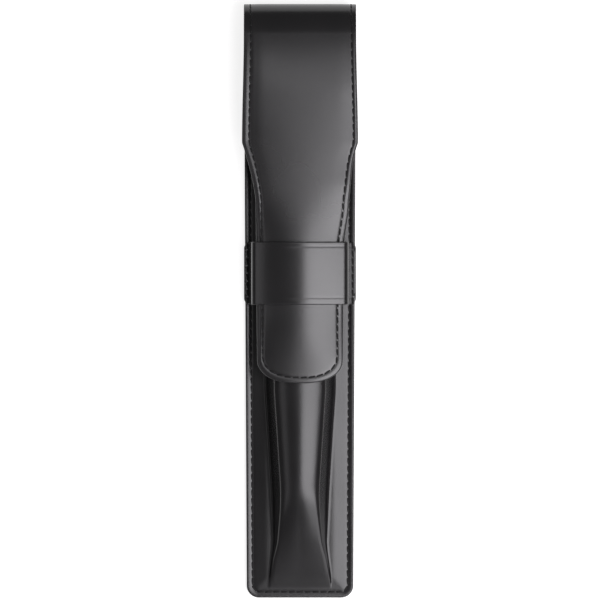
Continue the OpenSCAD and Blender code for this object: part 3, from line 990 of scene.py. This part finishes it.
def band_row(pattern, section, y, depth):
    """The band's section at a place and a depth. Its ends are drawn in and lie on the margin."""
    row = []
    for p in moved_in(section, depth):
        over = max(0.0, abs(p.x) - (BAND_END_X - BAND_END_CUT)) / BAND_END_CUT
        cut = BAND_END_CUT * (1 - math.sqrt(max(0.0, 1 - over ** 2)))
        reach = 1 - cut / (BAND_TOP_Y - BAND_MID_Y)
        margin = pattern.margin_height(max(0.0, pattern.body_half(BAND_MID_Y) - abs(p.x)))
        on_margin = 1 - ease((p.y - MARGIN_Z - BAND_T) / BAND_EASE_H)
        z = p.y + (margin - MARGIN_Z) * on_margin
        row.append(Vector((p.x, BAND_MID_Y + (y - BAND_MID_Y) * reach, z)))
    return row


def band_rows(pattern, depth):
    """Rows of the band at a depth, from its lower edge to its upper one. Only its face has creases."""
    section = mirrored(pattern.band_half())
    inside = spread(0, BAND_TOP_Y - BAND_LOW_Y - 2 * BAND_RIM[-1], BAND_STEP)[1:-1]
    places = [(d, BAND_LOW_Y + d, LOWER_CREASE) for d in BAND_RIM + [BAND_RIM[-1] + d for d in inside]]
    places += [(d, BAND_TOP_Y - d, UPPER_CREASE) for d in reversed(BAND_RIM)]
    rows = []
    for from_edge, y, crease in places:
        dent = math.exp(-((from_edge - crease) / CREASE_W) ** 2)
        dent += CREASE_SLUMP * (1 - min(1.0, from_edge / crease))
        rows.append(band_row(pattern, section, y, depth or pattern.crease_depth * dent))
    return rows


class SLEEVE_OT_band(bpy.types.Operator):
    """Make the band and its lining."""

    bl_idname = "sleeve.band"
    bl_label = "Band"

    def execute(self, context):
        pattern = Pattern(context.scene.sleeve_sizes)
        skins = [band_rows(pattern, depth) for depth in (0, BAND_T, BAND_T + BAND_LINING_T)]
        band, lining = lined_sheet(
            ("band_leather", "band_lining_skin"), skins, {"left", "right", "low", "high"},
            (BAND_EDGE_R, BAND_LINING_EDGE_R), "burnished_calf")
        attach(band, "root")
        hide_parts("band")
        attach(lining, "root")
        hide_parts("band_lining")
        return {"FINISHED"}


# Flap

# A part of the flap: its name, where along the sheet it starts and ends, the step between its rows, the
# CAD nodes that it stands for, and the two bodies that it bends between, from where to where
FlapPart = namedtuple("FlapPart", "name first last step nodes bend")
FLAP_PARTS = (
    FlapPart(
        "flap_fold_back", 0, ARC_L / 2, ARC_STEP, ("flap_fold", ),
        ("root", "fold", (0, FOLD_Y, 0), (0, HALF_L, FOLD_R))),
    FlapPart(
        "flap_fold_front", ARC_L / 2, ARC_L, ARC_STEP, ("flap_fold", "flap_shoulder"),
        ("fold", "shoulder", (0, HALF_L, FOLD_R), (0, FOLD_Y, FLAP_Z))),
    FlapPart(
        "flap_shoulder_bend", ARC_L, path_at(UPPER_MID_Y), FLAT_STEP, ("flap_upper", ),
        ("shoulder", "upper", (0, FOLD_Y, FLAP_Z), (0, FOLD_Y - SHOULDER_BEND_L, FLAP_Z))),
    FlapPart(
        "flap_knee_bend", path_at(UPPER_MID_Y), path_at(LOWER_MID_Y), FLAT_STEP,
        ("flap_upper", "flap_lower"),
        ("upper", "lower", (0, KNEE_Y + KNEE_BEND_L, FLAP_Z), (0, KNEE_Y - KNEE_BEND_L, FLAP_Z))),
    FlapPart(
        "flap_neck_bend", path_at(LOWER_MID_Y), path_at(NECK_Y), FLAT_STEP, ("flap_lower", ),
        ("lower", "tongue", (0, LOWER_MID_Y, FLAP_Z), (0, NECK_Y, FLAP_Z))),
    FlapPart("flap_tongue_end", path_at(NECK_Y), None, FLAT_STEP, ("flap_tongue", ), None),
)


def hang(piece, part):
    """Bakes the place of a piece of the flap that lies between two bodies into its mesh, leaving it free
    of both, or lets it ride on the tongue.
    """
    if part.bend:
        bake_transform(piece)
    else:
        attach(piece, "tongue")


def flap_rows(pattern, places, depth):
    """Rows of the flap's sheet at a depth, at places along it."""
    rows = []
    for s in places:
        sides = []
        for side in (-1, 1):
            half = pattern.half_at(s, side)
            sides.append([
                pattern.flap_point(side * (half - edge), s, edge, depth)
                for edge in column_edges(half, FLAP_RIM, FLAP_CELLS)])
        rows.append(joined(*sides))
    return rows


def tip_rows(pattern, depth):
    """Rows that turn round the tongue's tip, from where its lines start down to its edge."""
    edges = column_edges(pattern.flap_half(pattern.ring_top_y), FLAP_RIM, FLAP_CELLS)
    rings = [pattern.tongue_ring(edge) for edge in edges]
    last = len(edges) - 1
    rows = []
    for j in range(1, last + 1):
        row = []
        for i in range(-last, last + 1):
            ring = max(abs(i), j)
            share = j / (2 * ring) if abs(i) >= j else 1 - abs(i) / (2 * ring)
            x, y = along(rings[ring], share)
            row.append(pattern.front_flap_point(math.copysign(x, i), y, edges[ring], depth))
        rows.append(row)
    return rows


def part_rows(pattern, part, depth):
    """All rows of one part of the flap at a depth."""
    if part.last is not None:
        return flap_rows(pattern, spread(part.first, part.last, part.step), depth)
    straight = spread(part.first, path_at(pattern.ring_top_y), part.step)
    return flap_rows(pattern, straight, depth) + tip_rows(pattern, depth)


class SLEEVE_OT_flap(bpy.types.Operator):
    """Make the fold, the flap and the tongue with their lining, in the parts that the leather bends at."""

    bl_idname = "sleeve.flap"
    bl_label = "Flap"

    def execute(self, context):
        pattern = Pattern(context.scene.sleeve_sizes)
        for part in FLAP_PARTS:
            painted = {"left", "right"} if part.last is not None else {"left", "right", "high"}
            skins = [part_rows(pattern, part, depth) for depth in (0, PANEL_T, PANEL_T + LINING_T)]
            panel, lining = lined_sheet(
                (part.name + "_leather", part.name + "_lining"), skins, painted,
                (pattern.edge_r, LINING_EDGE_R), "plated_calf")
            hang(panel, part)
            hang(lining, part)
            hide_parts(*part.nodes)
            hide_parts(*(node + "_lining" for node in part.nodes))
        return {"FINISHED"}


# Thread: a seam is a line of places, each a point and the way out of the leather


def stitch_mesh(span, thread_r):
    """One stitch along +X between two holes, bent over, with its twist laid out in a UV map."""
    half_turn = math.asin(span / 2 / STITCH_BEND_R)
    centre = Vector((0, 0, -STITCH_BEND_R))
    bm = bmesh.new()
    bmesh.ops.create_circle(bm, cap_ends=True, segments=STITCH_SIDES, radius=thread_r)
    turn = Matrix.Rotation(math.radians(90), 4, "Y")
    shift = Matrix.Translation((0, 0, STITCH_BEND_R))
    start = Matrix.Rotation(-half_turn, 4, "Y")
    bmesh.ops.transform(bm, matrix=Matrix.Translation(centre) @ start @ shift @ turn, verts=bm.verts)
    bmesh.ops.spin(
        bm, geom=bm.verts[:] + bm.edges[:] + bm.faces[:], cent=centre, axis=(0, 1, 0),
        angle=2 * half_turn, steps=STITCH_CELLS, use_duplicate=False)
    bmesh.ops.recalc_face_normals(bm, faces=bm.faces[:])
    uv = bm.loops.layers.uv.new("thread")
    for face in bm.faces:
        around = []
        for loop in face.loops:
            arm = loop.vert.co - centre
            phi = math.atan2(arm.x, arm.z)
            out = Vector((math.sin(phi), 0, math.cos(phi)))
            side = arm - out * STITCH_BEND_R
            around.append(math.atan2(side.y, side.dot(out)) / math.tau)
            loop[uv].uv = (around[-1], phi * STITCH_BEND_R)
        if max(around) - min(around) > 0.5:
            for loop, share in zip(face.loops, around):
                loop[uv].uv.x = share + 1 if share < 0 else share
    mesh = bpy.data.meshes.new("stitch")
    bm.to_mesh(mesh)
    bm.free()
    return mesh


def sew(bm, line, pattern):
    """Sews stitches of equal length along a seam."""
    steps = lengths([place for place, out in line])
    whole = sum(steps)
    count = max(1, round(whole / pattern.pitch))
    mesh = stitch_mesh(whole / count - STITCH_GAP, pattern.thread_d / 2)

    def at(distance):
        k, share = stretch_at(steps, distance)
        (a, out_a), (b, out_b) = line[k], line[k + 1]
        return a.lerp(b, share), out_a.lerp(out_b, share).normalized()

    for k in range(count):
        first, out_first = at(k * whole / count + STITCH_GAP / 2)
        last, out_last = at((k + 1) * whole / count - STITCH_GAP / 2)
        way = (last - first).normalized()
        out = (out_first + out_last).normalized()
        side = out.cross(way).normalized()
        out = way.cross(side)
        facing = Matrix((way, side, out)).transposed().to_4x4()
        middle = (first + last) / 2 - out * STITCH_SINK
        place = Matrix.Translation(middle) @ facing @ Matrix.Rotation(STITCH_SLANT, 4, "Z")
        old = len(bm.verts)
        bm.from_mesh(mesh)
        bm.verts.ensure_lookup_table()
        bmesh.ops.transform(bm, matrix=place, verts=bm.verts[old:])
    bpy.data.meshes.remove(mesh)


def thread_piece(name, lines, pattern):
    """One piece with the stitches of some seams."""
    bm = bmesh.new()
    for line in lines:
        sew(bm, line, pattern)
    piece = add_object(name, bm, finishes("waxed_thread"))
    return piece


def flipped(line):
    """A seam's mirror image on the other side of the sleeve, run the same way."""
    turned = Vector((-1, 1, 1))
    return [(place * turned, out * turned) for place, out in line]


def flap_seam(pattern, first, last, depth, side):
    """The seam along one side of a part of the flap, on its face or on its lining."""

    def point(s, aside=0, ahead=0):
        s += ahead
        edge = pattern.flap_inset_at(s, side) - side * aside
        return pattern.flap_point(side * (pattern.half_at(s, side) - edge), s, edge, depth)

    line = []
    for s in spread(first, last, SEAM_STEP):
        across = point(s, aside=PROBE) - point(s, aside=-PROBE)
        forward = point(s, ahead=PROBE) - point(s, ahead=-PROBE)
        out = forward.cross(across).normalized()
        line.append((point(s), out if depth == 0 else -out))
    return line


def tongue_seam(pattern, first, depth):
    """The seam round the whole tongue, down one side, round the tip and up the other."""
    edge = pattern.flap_inset
    ring = pattern.tongue_ring(edge)
    right = flap_seam(pattern, first, path_at(pattern.ring_top_y), depth, 1)
    for k in range(1, TIP_SEAM_CELLS + 1):
        x, y = along(ring, k / TIP_SEAM_CELLS)
        slope = 2 * pattern.arch(y) * x / (FLAP_W / 2) ** 2
        out = Vector((slope, 0, 1)).normalized()
        right.append((pattern.front_flap_point(x, y, edge, depth), out if depth == 0 else -out))
    return right + flipped(right[:-1])[::-1]


def body_side_line(pattern, low_y, high_y, height, up):
    """A straight row along the body's right side. Up is 1 on a face and -1 on the back."""
    return [(Vector((pattern.body_half(y) - pattern.seam_inset, y, height)), Vector((0, 0, up)))
            for y in spread(low_y, high_y, SIDE_SEAM_STEP)]


def corner_line(pattern, height, up):
    """The seam along the bottom, from one side round both corners to the other."""
    centre_x, centre_y = pattern.corner_centre()
    radius = pattern.corner_r - pattern.seam_inset
    right = []
    for angle in divided(0, math.pi / 2, CORNER_SEAM_CELLS):
        place = (centre_x + radius * math.cos(angle), centre_y - radius * math.sin(angle), height)
        right.append((Vector(place), Vector((0, 0, up))))
    return right + flipped(right)[::-1]


def mouth_line(pattern):
    """The seam along the mouth, over the ridge from one side seam to the other."""
    y = MOUTH_Y - pattern.seam_inset
    ridge = pattern.ridge_row(y)[1]
    end = pattern.body_half(y) - pattern.seam_inset - MOUTH_SEAM_END
    face_z = MARGIN_Z + pattern.relief(pattern.seam_inset, pattern.seam_inset, 0)
    section = mirrored([(x, z + face_z) for x, z in ridge + [(end, 0.0)]])
    line = []
    for i, point in enumerate(section):
        before, after = section[max(0, i - 1)], section[min(len(section) - 1, i + 1)]
        run = (after - before).normalized()
        line.append((Vector((point.x, y, point.y)), Vector((-run.y, 0, run.x))))
    return line


class SLEEVE_OT_body_seams(bpy.types.Operator):
    """Sew the seam round the body and the row along the mouth."""

    bl_idname = "sleeve.body_seams"
    bl_label = "Body seams"

    def execute(self, context):
        pattern = Pattern(context.scene.sleeve_sizes)
        low_y = pattern.corner_centre()[1]
        face_z = pattern.margin_height(pattern.seam_inset)
        back_z = pattern.groove_depth
        band_x = BAND_END_X - pattern.band_inset
        band_z = pattern.margin_height(pattern.body_half(BAND_MID_Y) - band_x) + BAND_T + BAND_LINING_T
        up = Vector((0, 0, 1))
        right = [
            body_side_line(pattern, low_y, BAND_LOW_Y, face_z, 1),
            [(Vector((band_x, y, band_z)), up) for y in (BAND_LOW_Y, BAND_TOP_Y)],
            body_side_line(pattern, BAND_TOP_Y, MOUTH_Y - SIDE_SEAM_END, face_z, 1),
            body_side_line(pattern, low_y, FOLD_Y, back_z, -1),
            body_side_line(pattern, MOUTH_Y + SIDE_SEAM_END, FOLD_Y, FLOOR_Z, 1),
        ]
        for side in ("right", "left"):
            lines = right if side == "right" else [flipped(line) for line in right]
            piece = thread_piece("seam_thread_" + side + "_row", lines, pattern)
            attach(piece, "root")
            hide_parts("seam_thread_" + side)
        bottom = thread_piece(
            "seam_thread_bottom_row",
            [corner_line(pattern, face_z, 1), corner_line(pattern, back_z, -1)], pattern)
        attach(bottom, "root")
        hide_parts("seam_thread_bottom")
        mouth = thread_piece("mouth_thread_row", [mouth_line(pattern)], pattern)
        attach(mouth, "root")
        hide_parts("mouth_thread")
        return {"FINISHED"}


class SLEEVE_OT_flap_seams(bpy.types.Operator):
    """Sew the seam round the flap, on its face and on its lining."""

    bl_idname = "sleeve.flap_seams"
    bl_label = "Flap seams"

    def execute(self, context):
        pattern = Pattern(context.scene.sleeve_sizes)
        for part in FLAP_PARTS:
            lines = []
            for depth in (0, PANEL_T + LINING_T):
                if part.last is not None:
                    lines += [flap_seam(pattern, part.first, part.last, depth, side) for side in (-1, 1)]
                else:
                    lines.append(tongue_seam(pattern, part.first, depth))
            piece = thread_piece(part.name + "_thread", lines, pattern)
            hang(piece, part)
            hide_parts(*(node + "_thread" for node in part.nodes))
        return {"FINISHED"}


# Stage


def soft_light(name, x_span, y_span, level):
    """A soft light that lies flat over the table and shines down at a given brightness."""
    lamp = bpy.data.lights.new(name, "AREA")
    lamp.color = linear(LAMP_COLOUR)
    lamp.shape = "RECTANGLE"
    lamp.size = x_span[1] - x_span[0]
    lamp.size_y = y_span[1] - y_span[0]
    lamp.energy = level * math.pi * lamp.size * lamp.size_y
    light = bpy.data.objects.new(name, lamp)
    light.location = (sum(x_span) / 2, sum(y_span) / 2, LAMP_H)
    light.visible_camera = False
    bpy.context.scene.collection.objects.link(light)


class SLEEVE_OT_stage(bpy.types.Operator):
    """Make the floor, the soft light, the world and the camera."""

    bl_idname = "sleeve.stage"
    bl_label = "Stage"

    def execute(self, context):
        scene = context.scene
        bm = bmesh.new()
        bmesh.ops.create_grid(bm, x_segments=1, y_segments=1, size=FLOOR_SIZE / 2)
        floor = add_object("floor", bm, finishes("background_paper"))
        for lamp in LAMPS:
            soft_light(*lamp)
        world = bpy.data.worlds.new("room")
        world.use_nodes = True
        room = world.node_tree.nodes["Background"]
        room.inputs["Color"].default_value = (*linear("#ffffff"), 1)
        room.inputs["Strength"].default_value = WORLD_LEVEL
        scene.world = world
        pixel = 2 * HALF_L / (BOTTOM_PIXEL - TOP_PIXEL)
        lens = bpy.data.cameras.new("camera")
        lens.sensor_width = SENSOR_W
        lens.lens = SENSOR_W * (CAMERA_H - FLAP_Z / 2) / (PHOTO_PIXELS * pixel)
        camera = bpy.data.objects.new("camera", lens)
        camera.location = (0, HALF_L - (PHOTO_PIXELS / 2 - TOP_PIXEL) * pixel, CAMERA_H)
        scene.collection.objects.link(camera)
        scene.camera = camera
        scene.view_settings.view_transform = "Standard"
        return {"FINISHED"}


STEPS = ("back", "front", "band", "flap", "body_seams", "flap_seams", "stage")


class SLEEVE_PT_panel(bpy.types.Panel):
    """Lists the steps that make the sleeve and the sizes and colours that they use."""

    bl_idname = "SLEEVE_PT_panel"
    bl_label = "Pen sleeve"
    bl_space_type = "VIEW_3D"
    bl_region_type = "UI"
    bl_category = "Sleeve"

    def draw(self, context):
        for step in STEPS:
            self.layout.operator("sleeve." + step)
        scene = context.scene
        for group, kind in ((scene.sleeve_sizes, SleeveSizes), (scene.sleeve_colours, SleeveColours)):
            for name in kind.__annotations__:
                self.layout.prop(group, name)


CLASSES = (
    SleeveSizes, SleeveColours, SLEEVE_OT_back, SLEEVE_OT_front, SLEEVE_OT_band, SLEEVE_OT_flap,
    SLEEVE_OT_body_seams, SLEEVE_OT_flap_seams, SLEEVE_OT_stage, SLEEVE_PT_panel,
)


def register():
    """Adds the classes, and the sizes and colours of a scene."""
    for kind in CLASSES:
        bpy.utils.register_class(kind)
    bpy.types.Scene.sleeve_sizes = bpy.props.PointerProperty(type=SleeveSizes)
    bpy.types.Scene.sleeve_colours = bpy.props.PointerProperty(type=SleeveColours)


def unregister():
    """Takes away what register added."""
    del bpy.types.Scene.sleeve_colours
    del bpy.types.Scene.sleeve_sizes
    for kind in reversed(CLASSES):
        bpy.utils.unregister_class(kind)


def main():
    """Makes the sleeve and its stage."""
    register()
    for step in STEPS:
        getattr(bpy.ops.sleeve, step)()


if __name__ == "__main__":
    main()
